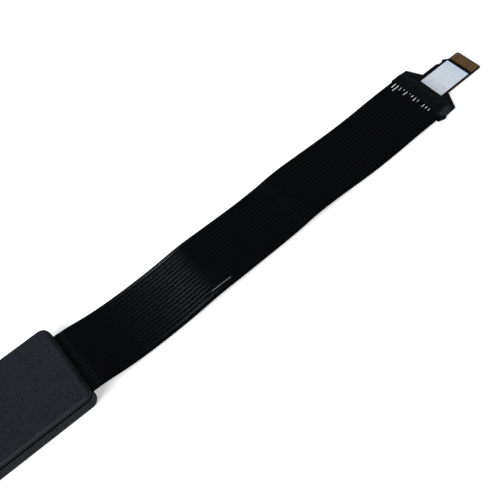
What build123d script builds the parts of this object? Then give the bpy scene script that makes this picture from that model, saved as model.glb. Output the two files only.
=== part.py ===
from build123d import *
import math
import os

# Card extension cable: a moulded housing with a card socket, a flat ribbon cable and a thin micro card plug.
# Millimetres, +Z up. The origin is the middle of the housing's underside, and +X points to the plug.

# Full-size memory card that the socket takes
CARD_THICKNESS = 2.1
CARD_SIDE_CLEARANCE = 0.13
CARD_LIFT = 0.3
CARD_INSERTION = 27.5

# Housing: a deep tray below and a shallow lid above, with a tongue between them
SIDE_WALL = 0.95
FRONT_WALL = 0.95
MOUTH_WALL = 3.2
BOTTOM_WALL = 1.1
TOP_WALL = 1.1
PLAN_RADIUS = 2.8
TOP_EDGE_RADIUS = 0.5
FRONT_BEVEL_RUN = 1.15
FRONT_BEVEL_DROP = 1.05
BOTTOM_EDGE_RADIUS = 0.6
SHELL_TO_CEILING = 0.6
TRAY_BELOW_SHELL = 0.7
GROOVE_HEIGHT = 0.95
GROOVE_DEPTH = 0.5
TONGUE_CLEARANCE = 0.05
MOUTH_CHAMFER = 0.4
MOUTH_MARGIN = 0.05
RIB_WIDTH = 0.8
HOLD_DOWN_SPACING = 12.0
PINCH_RIB_FROM_WALL = 0.6
PINCH_RIB_PITCH = 1.1

# Locating pins of the tray, in holes of the board
PIN_RADIUS = 0.9
PIN_CLEARANCE = 0.1
PIN_RISE = 0.8
PIN_SPACING = 15.0
PIN_FROM_BOARD_END = 1.8

# Circuit board in the housing
BOARD_THICKNESS = 0.8
BOARD_SIDE_GAP = 0.1
BOARD_END_GAP = 0.3
BOARD_TO_PINCH_RIB = 0.2

# Card socket: moulded base, stamped shell and nine bent contacts
SHELL_THICKNESS = 0.15
SHELL_WALL_GAP = 0.02
SHELL_BEND_RADIUS = 0.4
FINGER_LENGTH = 9.0
FINGER_WIDTH = 2.2
FINGER_SLIT = 0.5
FINGER_SPACING = 17.0
FINGER_FROM_STOP = 4.0
BASE_FLOOR = 0.75
BASE_SIDE_GAP = 0.03
BASE_ARM_WIDTH = 1.6
BASE_FLOOR_LENGTH = 10.0
STOP_THICKNESS = 1.5
CONTACT_THICKNESS = 0.15
CONTACT_WIDTH = 0.9
CONTACT_SIDE_CLEARANCE = 0.1
CONTACT_END_CLEARANCE = 0.2
CONTACT_TAIL = 1.3
CONTACT_BEND = 0.3
CONTACT_ARM = 6.3
CONTACT_CROWN = 0.4
CONTACT_TIP_DROP = 0.35
CONTACT_TIP_LENGTH = 1.1
CONTACT_PITCH = 2.5
EVEN_STEPS = 6
SEVENTH_STEP = 2.425
EIGHTH_STEP = 1.7
EIGHTH_FROM_CARD_EDGE = 2.0
NINTH_FROM_CARD_EDGE = 2.875
SUPPLY_REACH = 0.8
CORNER_REACH = -1.0

# Ribbon cable
CORES = 16
CORE_PITCH = 1.27
RIBBON_MARGIN = 0.59
RIBBON_THICKNESS = 0.9
CORE_RADIUS = 0.2
EXIT_CLEARANCE = 0.05
EXIT_SIDE_CLEARANCE = 0.2
EXIT_ABOVE_TRAY = 0.45
EXIT_OVERCUT = 0.5
EXIT_Y = -0.59
CABLE_YAW = 1.17
RIBBON_INSET = 5.5

# Stripped core ends on the board in the housing
BEND_START = 0.9
BEND_RUN = 1.2
CORE_FOOT = 1.7
TAIL_TO_CORES = 0.4
CORE_SIDES = 8
SOLDER_LENGTH = 1.1
SOLDER_END_GAP = 0.1
SOLDER_MARGIN = 0.25
SOLDER_RISE = 0.1
SOLDER_SLOPE = 20

# Plug: a board with the outline of a micro card, flared towards the ribbon.
# Its own frame starts where the card outline meets the flare, with the tip at PLUG_LENGTH.
PLUG_FROM_EXIT = 142.95
PLUG_SIDE = 0.32
PLUG_LENGTH = 15.0
PLUG_WIDTH = 11.0
PLUG_THICKNESS = 0.7
TIP_STEP = 1.3
TIP_STEP_FROM_TIP = 4.2
TIP_STEP_LENGTH = 1.7
CATCH_FROM_TIP = 6.0
CATCH_DEPTH = 0.6
CATCH_LENGTH = 1.9
CATCH_RETURN = 0.9
TIP_RADIUS_LEFT = 0.8
TIP_RADIUS_RIGHT = 0.25
FLARE_WIDTH = 21.6
FLARE_CENTRE = -0.3
FLARE_RISE_LEFT = 2.2
FLARE_RISE_RIGHT = 3.0
PLUG_TAIL = 10.0

# Contact pads and label on the plug
PADS = 8
PAD_PITCH = 1.1
PAD_WIDTH = 0.8
PAD_LENGTH = 3.35
PAD_FROM_TIP = 0.4
PAD_HEIGHT = 0.05
PAD_MARGIN = 0.6
LABEL_FROM_TIP = 5.1
LABEL_THICKNESS = 0.08
LABEL_MARGIN_RIGHT = 0.5
LABEL_MARGIN_LEFT = 0.25

# Tape sleeve round the joint
SLEEVE_WALL = 0.25
SLEEVE_FRONT = 2.75
SLEEVE_FRONT_SLANT = 0.35
SLEEVE_REAR = 8.75
SLEEVE_LAP = 0.35
SLEEVE_BUNCH = 0.8
SLEEVE_SKEW = 1.4
SLEEVE_SLOPE = 3.1
SLEEVE_EDGE_RADIUS = 0.45
# Bends of its rear edge on the right: share of the way out to the right edge, and share of the skew
SLEEVE_BENDS = [(0.3, 0.0), (0.78, 0.55), (1.0, 1.0)]
BUNCH_REAR_SHARE = 0.62
BUNCH_FRONT_SHARE = 0.4

# Bare core ends between the ribbon and the plug's board
CORE_TO_BOARD_LAP = 3.7
BARE_LENGTH = 1.45

# Heights, worked out from the stack in the housing
BOARD_TOP = BOTTOM_WALL + BOARD_THICKNESS
BASE_TOP = BOARD_TOP + BASE_FLOOR
SHELL_UNDERSIDE = BASE_TOP + CARD_THICKNESS + CARD_LIFT
SHELL_TOP = SHELL_UNDERSIDE + SHELL_THICKNESS
TRAY_HEIGHT = SHELL_TOP - TRAY_BELOW_SHELL
SKIRT_BOTTOM = TRAY_HEIGHT + GROOVE_HEIGHT
CEILING = SHELL_TOP + SHELL_TO_CEILING
HOUSING_HEIGHT = CEILING + TOP_WALL
EXIT_TOP = TRAY_HEIGHT + EXIT_ABOVE_TRAY
EXIT_HEIGHT = EXIT_TOP - EXIT_CLEARANCE - RIBBON_THICKNESS / 2

# Widths, worked out from the contacts to the card's edges, and outwards
CONTACT_SPAN = EIGHTH_STEP + SEVENTH_STEP + EVEN_STEPS * CONTACT_PITCH
CARD_WIDTH = EIGHTH_FROM_CARD_EDGE + CONTACT_SPAN + NINTH_FROM_CARD_EDGE
SHELL_INNER_WIDTH = CARD_WIDTH + 2 * CARD_SIDE_CLEARANCE
SHELL_WIDTH = SHELL_INNER_WIDTH + 2 * SHELL_THICKNESS
CAVITY_WIDTH = SHELL_WIDTH + 2 * SHELL_WALL_GAP
HOUSING_WIDTH = CAVITY_WIDTH + 2 * SIDE_WALL
BOARD_WIDTH = CAVITY_WIDTH - 2 * BOARD_SIDE_GAP
BASE_WIDTH = SHELL_INNER_WIDTH - 2 * BASE_SIDE_GAP
MOUTH_WIDTH = SHELL_INNER_WIDTH + 2 * MOUTH_MARGIN
RIBBON_WIDTH = CORES * CORE_PITCH + 2 * RIBBON_MARGIN
EXIT_WIDTH = RIBBON_WIDTH + 2 * EXIT_SIDE_CLEARANCE

# Stations along X in the housing, whose length holds the card, the contacts and the ribbon's end in turn
CORE_REACH = RIBBON_INSET + BEND_START + BEND_RUN + CORE_FOOT
HOUSING_LENGTH = CARD_INSERTION + STOP_THICKNESS + CONTACT_TAIL + TAIL_TO_CORES + CORE_REACH
FRONT = HOUSING_LENGTH / 2
REAR = -HOUSING_LENGTH / 2
CAVITY_FRONT = FRONT - FRONT_WALL
CAVITY_REAR = REAR + MOUTH_WALL
TRAY_RIB = CAVITY_FRONT - PINCH_RIB_FROM_WALL - RIB_WIDTH / 2
LID_RIB = TRAY_RIB - PINCH_RIB_PITCH
SOCKET_REAR = CAVITY_REAR + BOARD_END_GAP
CARD_STOP = REAR + CARD_INSERTION
SOCKET_FRONT = CARD_STOP + STOP_THICKNESS
BOARD_FRONT = TRAY_RIB - RIB_WIDTH / 2 - BOARD_TO_PINCH_RIB
PIN_X = BOARD_FRONT - PIN_FROM_BOARD_END

# Heights and places at the plug, which lies on the same surface as the housing
PLUG_BOTTOM = SLEEVE_WALL
PLUG_TOP = PLUG_BOTTOM + PLUG_THICKNESS
PLUG_CORE_HEIGHT = PLUG_TOP + CORE_RADIUS
SLEEVE_INNER_TOP = PLUG_CORE_HEIGHT + CORE_RADIUS + SOLDER_RISE
SLEEVE_TOP = SLEEVE_INNER_TOP + SLEEVE_WALL
RIBBON_END = PLUG_FROM_EXIT - SLEEVE_REAR - BARE_LENGTH

# The ribbon's centre line as (distance from the exit, height): down from the exit, then in low waves
CABLE_ROUTE = [
    (-RIBBON_INSET, EXIT_HEIGHT),
    (2.4, EXIT_HEIGHT),
    (11.5, 1.95),
    (21.0, 1.05),
    (33.0, 0.9),
    (44.0, 1.9),
    (52.0, 1.5),
    (72.0, 1.4),
    (82.0, 1.95),
    (95.0, 1.4),
    (104.0, 0.6),
    (114.0, 0.5),
    (124.0, PLUG_CORE_HEIGHT),
    (RIBBON_END, PLUG_CORE_HEIGHT),
]
ARC_SHARE = 0.45


def block(x0, x1, y0, y1, z0, z1):
    """A plain box between two corners."""
    size = Box(x1 - x0, y1 - y0, z1 - z0, align=(Align.MIN, Align.MIN, Align.MIN))
    return Pos(x0, y0, z0) * size


def rounded_plate(inset, bottom, top):
    """A plate with the housing's outline, drawn in by inset, between two heights."""
    outline = RectangleRounded(HOUSING_LENGTH - 2 * inset, HOUSING_WIDTH - 2 * inset, PLAN_RADIUS - inset)
    return Pos(0, 0, bottom) * extrude(outline, top - bottom)


def at_exit(shape):
    """Moves a shape from the cable's frame, at the exit and turned by the yaw, to the housing's."""
    return Location((FRONT, EXIT_Y, 0), (0, 0, CABLE_YAW)) * shape


def at_plug(shape):
    """Moves a shape from the plug's own frame to the housing's."""
    return at_exit(Pos(PLUG_FROM_EXIT, PLUG_SIDE, 0) * shape)


def core_positions():
    """The cores' places across the ribbon, from one edge to the other."""
    first = -(CORES - 1) * CORE_PITCH / 2
    return [first + i * CORE_PITCH for i in range(CORES)]


def contact_positions():
    """The nine contacts' places across the card, as (name, y, extra reach)."""
    eighth = CARD_WIDTH / 2 - EIGHTH_FROM_CARD_EDGE
    seventh = eighth - EIGHTH_STEP
    sixth = seventh - SEVENTH_STEP
    places = [("card_contact_8", eighth, 0.0), ("card_contact_7", seventh, 0.0)]
    for number in range(EVEN_STEPS, 0, -1):
        reach = SUPPLY_REACH if number in (3, 4, 6) else 0.0
        places.append((f"card_contact_{number}", sixth - (EVEN_STEPS - number) * CONTACT_PITCH, reach))
    places.append(("card_contact_9", sixth - EVEN_STEPS * CONTACT_PITCH, CORNER_REACH))
    return places


def bottom_cover():
    """Deep tray: floor, walls with a tongue, card mouth, cable exit, locating pins and a pinch rib."""
    tray = rounded_plate(0, 0, TRAY_HEIGHT)
    tray = fillet(tray.faces().sort_by(Axis.Z)[0].edges(), BOTTOM_EDGE_RADIUS)
    tray += rounded_plate(GROOVE_DEPTH, TRAY_HEIGHT, CEILING - TONGUE_CLEARANCE)
    half = CAVITY_WIDTH / 2
    tray -= block(CAVITY_REAR, CAVITY_FRONT, -half, half, BOTTOM_WALL, HOUSING_HEIGHT)
    half = MOUTH_WIDTH / 2
    tray -= block(REAR, CAVITY_REAR, -half, half, BASE_TOP - MOUTH_MARGIN, HOUSING_HEIGHT)
    bevel = math.sqrt(2) * MOUTH_CHAMFER
    tray -= Location((REAR, 0, BASE_TOP - MOUTH_MARGIN), (0, 45, 0)) * Box(bevel, MOUTH_WIDTH, bevel)
    half = EXIT_WIDTH / 2
    slot_bottom = EXIT_TOP - 2 * EXIT_CLEARANCE - RIBBON_THICKNESS
    tray -= at_exit(block(-FRONT_WALL - EXIT_OVERCUT, EXIT_OVERCUT, -half, half, slot_bottom, EXIT_TOP))
    rib_rear = TRAY_RIB - RIB_WIDTH / 2
    ribbon_underside = EXIT_HEIGHT - RIBBON_THICKNESS / 2
    tray += block(rib_rear, rib_rear + RIB_WIDTH, -half, half, BOTTOM_WALL, ribbon_underside)
    for side in (-1, 1):
        pin = Cylinder(PIN_RADIUS, BOARD_THICKNESS + PIN_RISE, align=(Align.CENTER, Align.CENTER, Align.MIN))
        tray += Pos(PIN_X, side * PIN_SPACING / 2, BOTTOM_WALL) * pin
    return tray


def top_cover():
    """Shallow lid: rounded upper edges, a bevel over the ribbon, and ribs that hold the socket and the ribbon."""
    lid = rounded_plate(0, SKIRT_BOTTOM, HOUSING_HEIGHT)
    lid = fillet(lid.faces().sort_by(Axis.Z)[-1].edges(), TOP_EDGE_RADIUS)
    bevel_start = (FRONT - FRONT_BEVEL_RUN, HOUSING_HEIGHT)
    bevel_end = (FRONT, HOUSING_HEIGHT - FRONT_BEVEL_DROP)
    bevel = make_face(Polyline(bevel_start, bevel_end, (FRONT, HOUSING_HEIGHT), close=True))
    lid -= extrude(Plane.XZ * bevel, HOUSING_WIDTH / 2, both=True)
    lid -= rounded_plate(GROOVE_DEPTH - TONGUE_CLEARANCE, SKIRT_BOTTOM, CEILING)
    for side in (-1, 1):
        y = side * HOLD_DOWN_SPACING / 2
        lid += block(SOCKET_REAR, SOCKET_FRONT, y - RIB_WIDTH / 2, y + RIB_WIDTH / 2, SHELL_TOP, CEILING)
    half = EXIT_WIDTH / 2
    rib_rear = LID_RIB - RIB_WIDTH / 2
    ribbon_upperside = EXIT_HEIGHT + RIBBON_THICKNESS / 2
    lid += block(rib_rear, rib_rear + RIB_WIDTH, -half, half, ribbon_upperside, CEILING)
    half = MOUTH_WIDTH / 2 - TONGUE_CLEARANCE
    lip = block(REAR, CAVITY_REAR, -half, half, SHELL_UNDERSIDE + MOUTH_MARGIN, CEILING)
    return lid + (lip & rounded_plate(0, 0, HOUSING_HEIGHT))


def socket_board():
    """Circuit board on the tray's floor, with two locating holes."""
    board = block(SOCKET_REAR, BOARD_FRONT, -BOARD_WIDTH / 2, BOARD_WIDTH / 2, BOTTOM_WALL, BOARD_TOP)
    for side in (-1, 1):
        hole = Cylinder(PIN_RADIUS + PIN_CLEARANCE, 2 * BOARD_THICKNESS)
        board -= Pos(PIN_X, side * PIN_SPACING / 2, BOTTOM_WALL + BOARD_THICKNESS / 2) * hole
    return board


def socket_base():
    """Moulded base: a floor with contact slots, the card stop and two arms under the card's edges."""
    half = BASE_WIDTH / 2
    floor_rear = CARD_STOP - BASE_FLOOR_LENGTH
    base = block(floor_rear, SOCKET_FRONT, -half, half, BOARD_TOP, BASE_TOP)
    base += block(CARD_STOP, SOCKET_FRONT, -half, half, BOARD_TOP, SHELL_UNDERSIDE)
    for side in (-1, 1):
        middle = side * (half - BASE_ARM_WIDTH / 2)
        right = middle - BASE_ARM_WIDTH / 2
        base += block(SOCKET_REAR, floor_rear, right, right + BASE_ARM_WIDTH, BOARD_TOP, BASE_TOP)
    base = fillet(base.edges().filter_by(Axis.X).group_by(Axis.Z)[-1], SHELL_BEND_RADIUS)
    slot_half = CONTACT_WIDTH / 2 + CONTACT_SIDE_CLEARANCE
    for _, y, reach in contact_positions():
        contact_tip = CARD_STOP - CONTACT_BEND - CONTACT_ARM - reach - CONTACT_TIP_LENGTH
        slot_rear = contact_tip - CONTACT_END_CLEARANCE
        base -= block(slot_rear, CARD_STOP, y - slot_half, y + slot_half, BOARD_TOP, BASE_TOP)
        window_top = BOARD_TOP + CONTACT_THICKNESS + CONTACT_SIDE_CLEARANCE
        base -= block(CARD_STOP, SOCKET_FRONT, y - slot_half, y + slot_half, BOARD_TOP, window_top)
    return base


def socket_shell():
    """Stamped steel cover: a folded channel over the card, with two spring fingers cut into its top."""
    channel = Rectangle(SHELL_WIDTH, SHELL_TOP - BOARD_TOP, align=(Align.CENTER, Align.MIN))
    channel = fillet(channel.vertices().group_by(Axis.Y)[-1], SHELL_BEND_RADIUS)
    inner = Rectangle(SHELL_INNER_WIDTH, SHELL_UNDERSIDE - BOARD_TOP, align=(Align.CENTER, Align.MIN))
    inner = fillet(inner.vertices().group_by(Axis.Y)[-1], SHELL_BEND_RADIUS - SHELL_THICKNESS)
    profile = Plane((SOCKET_REAR, 0, BOARD_TOP), x_dir=(0, 1, 0), z_dir=(1, 0, 0)) * (channel - inner)
    shell = extrude(profile, SOCKET_FRONT - SOCKET_REAR)
    tip = CARD_STOP - FINGER_FROM_STOP
    root = tip - FINGER_LENGTH
    for side in (-1, 1):
        y = side * FINGER_SPACING / 2
        outer_half = FINGER_WIDTH / 2 + FINGER_SLIT
        window = block(root, tip + FINGER_SLIT, y - outer_half, y + outer_half, SHELL_UNDERSIDE, SHELL_TOP)
        finger = block(root, tip, y - FINGER_WIDTH / 2, y + FINGER_WIDTH / 2, SHELL_UNDERSIDE, SHELL_TOP)
        shell -= window - finger
    return shell


def card_contact(y, reach):
    """Bent strip: solder tail on the board, through the card stop, and a sprung arm with a rounded crown."""
    tail_z = BOARD_TOP + CONTACT_THICKNESS / 2
    crown_z = BASE_TOP + CONTACT_CROWN
    bend = CARD_STOP - CONTACT_BEND
    crown = bend - CONTACT_ARM - reach
    line = FilletPolyline(
        (SOCKET_FRONT + CONTACT_TAIL, y, tail_z),
        (bend, y, tail_z),
        (crown, y, crown_z),
        (crown - CONTACT_TIP_LENGTH, y, crown_z - CONTACT_TIP_DROP),
        radius=2 * CONTACT_THICKNESS,
    )
    start = Plane((SOCKET_FRONT + CONTACT_TAIL, y, tail_z), x_dir=(0, 1, 0), z_dir=(-1, 0, 0))
    return sweep(start * Rectangle(CONTACT_WIDTH, CONTACT_THICKNESS), path=line)


def route_radii():
    """The arc radius at each inner point: a share of the shorter run over the half turn's tangent."""
    radii = []
    for before, here, after in zip(CABLE_ROUTE, CABLE_ROUTE[1:], CABLE_ROUTE[2:]):
        run_in = Vector(here[0] - before[0], here[1] - before[1])
        run_out = Vector(after[0] - here[0], after[1] - here[1])
        half_turn = math.radians(run_in.get_angle(run_out)) / 2
        radii.append(ARC_SHARE * min(run_in.length, run_out.length) / math.tan(half_turn))
    return radii


def ribbon_path():
    """Straight runs joined by tangent arcs, in the cable's frame."""
    return FilletPolyline(*[(s, 0, z) for s, z in CABLE_ROUTE], radius=route_radii())


def ribbon_cable():
    """Flat cable: a slot-shaped section carried along the route."""
    start = Plane((CABLE_ROUTE[0][0], 0, CABLE_ROUTE[0][1]), x_dir=(0, 1, 0), z_dir=(1, 0, 0))
    section = start * SlotOverall(RIBBON_WIDTH, RIBBON_THICKNESS)
    return at_exit(sweep(section, path=ribbon_path()))


def core_section():
    """A bare core's section, tinned flat enough on each side to lie on its pad."""
    return RegularPolygon(CORE_RADIUS, CORE_SIDES, major_radius=False, rotation=180 / CORE_SIDES)


def solder_mound(x, y, bottom, width, height):
    """A mound of solder with sloped sides."""
    return Pos(x, y, bottom) * extrude(Rectangle(SOLDER_LENGTH, width), height, taper=SOLDER_SLOPE)


def board_core_path(y):
    """A stripped core from the ribbon's end down to its foot on the board, in the cable's frame."""
    start = -RIBBON_INSET
    foot_z = BOARD_TOP + CORE_RADIUS
    foot = start - BEND_START - BEND_RUN
    upper = [(start, y, EXIT_HEIGHT), (start - BEND_START, y, EXIT_HEIGHT)]
    lower = [(foot, y, foot_z), (foot - CORE_FOOT, y, foot_z)]
    return Polyline(*upper, *lower)


def board_wire_ends():
    """The stripped ends of all cores in the housing."""
    wires = []
    for y in core_positions():
        start = Plane((-RIBBON_INSET, y, EXIT_HEIGHT), x_dir=(0, 1, 0), z_dir=(-1, 0, 0))
        wires.append(sweep(start * core_section(), path=board_core_path(y), transition=Transition.RIGHT))
    return wires


def board_solder_joints(wires, contacts):
    """Solder over each core's foot and over each contact's tail."""
    joints = []
    middle = -RIBBON_INSET - BEND_START - BEND_RUN - CORE_FOOT / 2 - CORE_RADIUS
    width = 2 * (CORE_RADIUS + SOLDER_MARGIN)
    height = 2 * CORE_RADIUS + SOLDER_RISE
    for y, wire in zip(core_positions(), wires):
        joints.append(at_exit(solder_mound(middle, y, BOARD_TOP, width, height) - wire))
    middle = SOCKET_FRONT + CONTACT_TAIL / 2
    width = CONTACT_WIDTH + 2 * SOLDER_MARGIN
    height = CONTACT_THICKNESS + SOLDER_RISE
    for (_, y, _), contact in zip(contact_positions(), contacts):
        joints.append(solder_mound(middle, y, BOARD_TOP, width, height) - contact)
    return joints


def plug_outline():
    """Plan of the plug's board, anticlockwise from the right shoulder."""
    half = PLUG_WIDTH / 2
    tip = PLUG_LENGTH
    left_tip = half - TIP_STEP
    catch = tip - CATCH_FROM_TIP
    left_flare = FLARE_CENTRE + FLARE_WIDTH / 2
    right_flare = FLARE_CENTRE - FLARE_WIDTH / 2
    return [
        (0, -half),
        (tip, -half),
        (tip, left_tip),
        (tip - TIP_STEP_FROM_TIP, left_tip),
        (tip - TIP_STEP_FROM_TIP - TIP_STEP_LENGTH, half),
        (catch, half),
        (catch, half - CATCH_DEPTH),
        (catch - CATCH_LENGTH, half - CATCH_DEPTH),
        (catch - CATCH_LENGTH - CATCH_RETURN, half),
        (0, half),
        (-FLARE_RISE_LEFT, left_flare),
        (-PLUG_TAIL, left_flare),
        (-PLUG_TAIL, right_flare),
        (-FLARE_RISE_RIGHT, right_flare),
    ]


def plug_board():
    """Thin board with the micro card's outline, its left tip corner rounded and the right one nearly sharp."""
    outline = make_face(Polyline(*plug_outline(), close=True))
    board = Pos(0, 0, PLUG_BOTTOM) * extrude(outline, PLUG_THICKNESS)
    right_tip = board.edges().filter_by(Axis.Z).group_by(Axis.X)[-1].sort_by(Axis.Y)[0]
    board = fillet(right_tip, TIP_RADIUS_RIGHT)
    left_tip = board.edges().filter_by(Axis.Z).group_by(Axis.X)[-1].sort_by(Axis.Y)[-1]
    return at_plug(fillet(left_tip, TIP_RADIUS_LEFT))


def plug_contact_pads():
    """Gold pads in a row across the tip."""
    pads = []
    right = -PLUG_WIDTH / 2 + PAD_MARGIN
    far = PLUG_LENGTH - PAD_FROM_TIP
    for i in range(PADS):
        y = right + i * PAD_PITCH
        pads.append(at_plug(block(far - PAD_LENGTH, far, y, y + PAD_WIDTH, PLUG_TOP, PLUG_TOP + PAD_HEIGHT)))
    return pads


def plug_label():
    """White label on the board, from behind the pads to the sleeve."""
    right = -PLUG_WIDTH / 2 + LABEL_MARGIN_RIGHT
    left = PLUG_WIDTH / 2 - TIP_STEP - LABEL_MARGIN_LEFT
    rear = -SLEEVE_FRONT + SLEEVE_FRONT_SLANT / 2
    front = PLUG_LENGTH - LABEL_FROM_TIP
    return at_plug(block(rear, front, right, left, PLUG_TOP, PLUG_TOP + LABEL_THICKNESS))


def sleeve_outline():
    """Plan of the sleeve: a band over the flared board, with its right end bunched up towards the ribbon."""
    left = FLARE_CENTRE + FLARE_WIDTH / 2 + SLEEVE_LAP
    right = FLARE_CENTRE - FLARE_WIDTH / 2 - SLEEVE_LAP
    bunch = right - SLEEVE_BUNCH
    rear_right = [(-SLEEVE_REAR - skew * SLEEVE_SKEW, way * right) for way, skew in SLEEVE_BENDS]
    return [
        (-SLEEVE_FRONT + SLEEVE_FRONT_SLANT, left),
        (-SLEEVE_REAR, left),
        *rear_right,
        (-SLEEVE_REAR - SLEEVE_SKEW * BUNCH_REAR_SHARE, bunch),
        (-SLEEVE_REAR + SLEEVE_SKEW * BUNCH_FRONT_SHARE, bunch),
        (-SLEEVE_FRONT - SLEEVE_FRONT_SLANT, right),
    ]


def sleeve_side(bottom, high, low):
    """Side view of the sleeve or its inside: high over the cores, sloping down to low at the front edge."""
    rear = -SLEEVE_REAR - 2 * SLEEVE_SKEW
    front = -SLEEVE_FRONT
    slope = front - SLEEVE_SLOPE
    return [(rear, bottom), (0, bottom), (0, low), (front, low), (slope, high), (rear, high)]


def plug_sleeve():
    """Tape sleeve: a flat tube, open to the ribbon and closed down onto the board at its front."""
    band = extrude(make_face(Polyline(*sleeve_outline(), close=True)), SLEEVE_TOP)
    sides = band.edges().filter_by(Axis.X).sort_by(Axis.Y)
    band = fillet(sides[-2:], SLEEVE_EDGE_RADIUS)
    outer = make_face(Polyline(*sleeve_side(0, SLEEVE_TOP, PLUG_TOP + SLEEVE_WALL), close=True))
    inner = make_face(Polyline(*sleeve_side(PLUG_BOTTOM, SLEEVE_INNER_TOP, PLUG_TOP), close=True))
    upright = Plane.XZ
    band &= extrude(upright * outer, FLARE_WIDTH, both=True)
    cavity = Pos(0, FLARE_CENTRE, 0) * extrude(upright * inner, FLARE_WIDTH / 2, both=True)
    return at_plug(band - cavity)


def plug_wire_ends():
    """The bare core ends from the ribbon's end to the pads on the plug's board."""
    wires = []
    end = PLUG_FROM_EXIT - PLUG_TAIL + CORE_TO_BOARD_LAP
    for y in core_positions():
        start = Plane((RIBBON_END, y, PLUG_CORE_HEIGHT), x_dir=(0, 1, 0), z_dir=(1, 0, 0))
        wires.append(extrude(start * core_section(), end - RIBBON_END))
    return wires


def plug_solder_joints(wires):
    """Solder over each core's end on the plug's board."""
    end = PLUG_FROM_EXIT - PLUG_TAIL + CORE_TO_BOARD_LAP
    middle = end - SOLDER_END_GAP - SOLDER_LENGTH / 2
    width = 2 * (CORE_RADIUS + SOLDER_MARGIN)
    height = 2 * CORE_RADIUS + SOLDER_RISE
    joints = []
    for y, wire in zip(core_positions(), wires):
        joints.append(at_exit(solder_mound(middle, y, PLUG_TOP, width, height) - wire))
    return joints


def main():
    """Builds every piece, writes it to parts/ under its node's name and prints the ribbon's figures."""
    contacts = [card_contact(y, reach) for _, y, reach in contact_positions()]
    board_wires = board_wire_ends()
    plug_wires = plug_wire_ends()
    pieces = {
        "top_cover": top_cover(),
        "bottom_cover": bottom_cover(),
        "socket_board": socket_board(),
        "socket_base": socket_base(),
        "socket_shell": socket_shell(),
        "board_wire_ends": Compound([at_exit(wire) for wire in board_wires]),
        "board_solder_joints": Compound(board_solder_joints(board_wires, contacts)),
        "ribbon_cable": ribbon_cable(),
        "plug_board": plug_board(),
        "plug_contact_pads": Compound(plug_contact_pads()),
        "plug_label": plug_label(),
        "plug_sleeve": plug_sleeve(),
        "plug_wire_ends": Compound([at_exit(wire) for wire in plug_wires]),
        "plug_solder_joints": Compound(plug_solder_joints(plug_wires)),
    }
    for (name, _, _), contact in zip(contact_positions(), contacts):
        pieces[name] = contact
    os.makedirs("parts", exist_ok=True)
    for name, piece in pieces.items():
        export_step(piece, f"parts/{name}.step")
    path = ribbon_path()
    section = SlotOverall(RIBBON_WIDTH, RIBBON_THICKNESS).area
    print("ribbon length", round(path.length, 2), "radii", [round(r, 1) for r in route_radii()])
    print("ribbon volume", round(pieces["ribbon_cable"].volume, 2))
    print("section x length", round(section * path.length, 2))


main()
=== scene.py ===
"""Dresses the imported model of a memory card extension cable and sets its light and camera.

Metres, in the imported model's frame: +X runs from the housing to the plug, +Z is up and the floor is z = 0.
"""
from __future__ import annotations

import logging
import math
from dataclasses import dataclass, field
from typing import Any

import bpy
import numpy as np
from bpy.types import Material, NodeSocket, Object
from mathutils import Matrix


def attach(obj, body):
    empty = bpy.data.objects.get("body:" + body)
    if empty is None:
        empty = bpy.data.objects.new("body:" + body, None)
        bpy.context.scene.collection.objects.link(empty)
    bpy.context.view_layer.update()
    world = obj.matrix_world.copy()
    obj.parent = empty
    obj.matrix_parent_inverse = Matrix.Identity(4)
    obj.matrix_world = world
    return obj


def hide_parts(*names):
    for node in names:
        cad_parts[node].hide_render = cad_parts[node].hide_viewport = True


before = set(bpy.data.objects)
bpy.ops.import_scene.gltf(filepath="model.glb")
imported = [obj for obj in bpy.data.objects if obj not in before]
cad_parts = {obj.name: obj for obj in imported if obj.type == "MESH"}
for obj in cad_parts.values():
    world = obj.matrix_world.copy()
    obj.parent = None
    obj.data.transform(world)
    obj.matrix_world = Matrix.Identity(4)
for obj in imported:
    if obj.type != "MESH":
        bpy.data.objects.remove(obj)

LOG = logging.getLogger("cable")
MM = 0.001
Colour = tuple[float, float, float]
Pair = tuple[float, float]
Triple = tuple[float, float, float]
Pairs = tuple[Pair, ...]

# The cable's own frame: distance s from the ribbon's exit, y across it, turned a little from the housing's +X
EXIT_X = 20.0
EXIT_Y = -0.59
CABLE_YAW = math.radians(1.17)
# The plug's frame lies along the cable's: u from where the card outline starts to its tip, w across
PLUG_FROM_EXIT = 142.95
PLUG_SIDE = 0.32
CORES = 16
CORE_PITCH = 1.27


def on_cable(s: Any, y: Any, z: Any) -> np.ndarray:
    """Places points of the cable's frame in the model's.

    The point is the exit plus s along the yawed direction plus y across it, scaled to metres.

    Args:
        s: Distance from the exit along the cable, in millimetres.
        y: Distance across the cable, in millimetres.
        z: Height, in millimetres.

    Returns:
        An array of points whose last axis holds x, y and z in metres.
    """
    s, y, z = np.broadcast_arrays(*(np.asarray(value, float) for value in (s, y, z)))
    along, across = math.cos(CABLE_YAW), math.sin(CABLE_YAW)
    return np.stack([EXIT_X + s * along - y * across, EXIT_Y + s * across + y * along, z], axis=-1) * MM


def on_plug(u: Any, w: Any, z: Any) -> np.ndarray:
    """Places points of the plug's frame, given as millimetres along, across and up, in the model's."""
    return on_cable(np.asarray(u, float) + PLUG_FROM_EXIT, np.asarray(w, float) + PLUG_SIDE, z)


def core_places() -> np.ndarray:
    """The cores' places across the ribbon, in millimetres."""
    return (np.arange(CORES) - (CORES - 1) / 2) * CORE_PITCH


# Shader building


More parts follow.
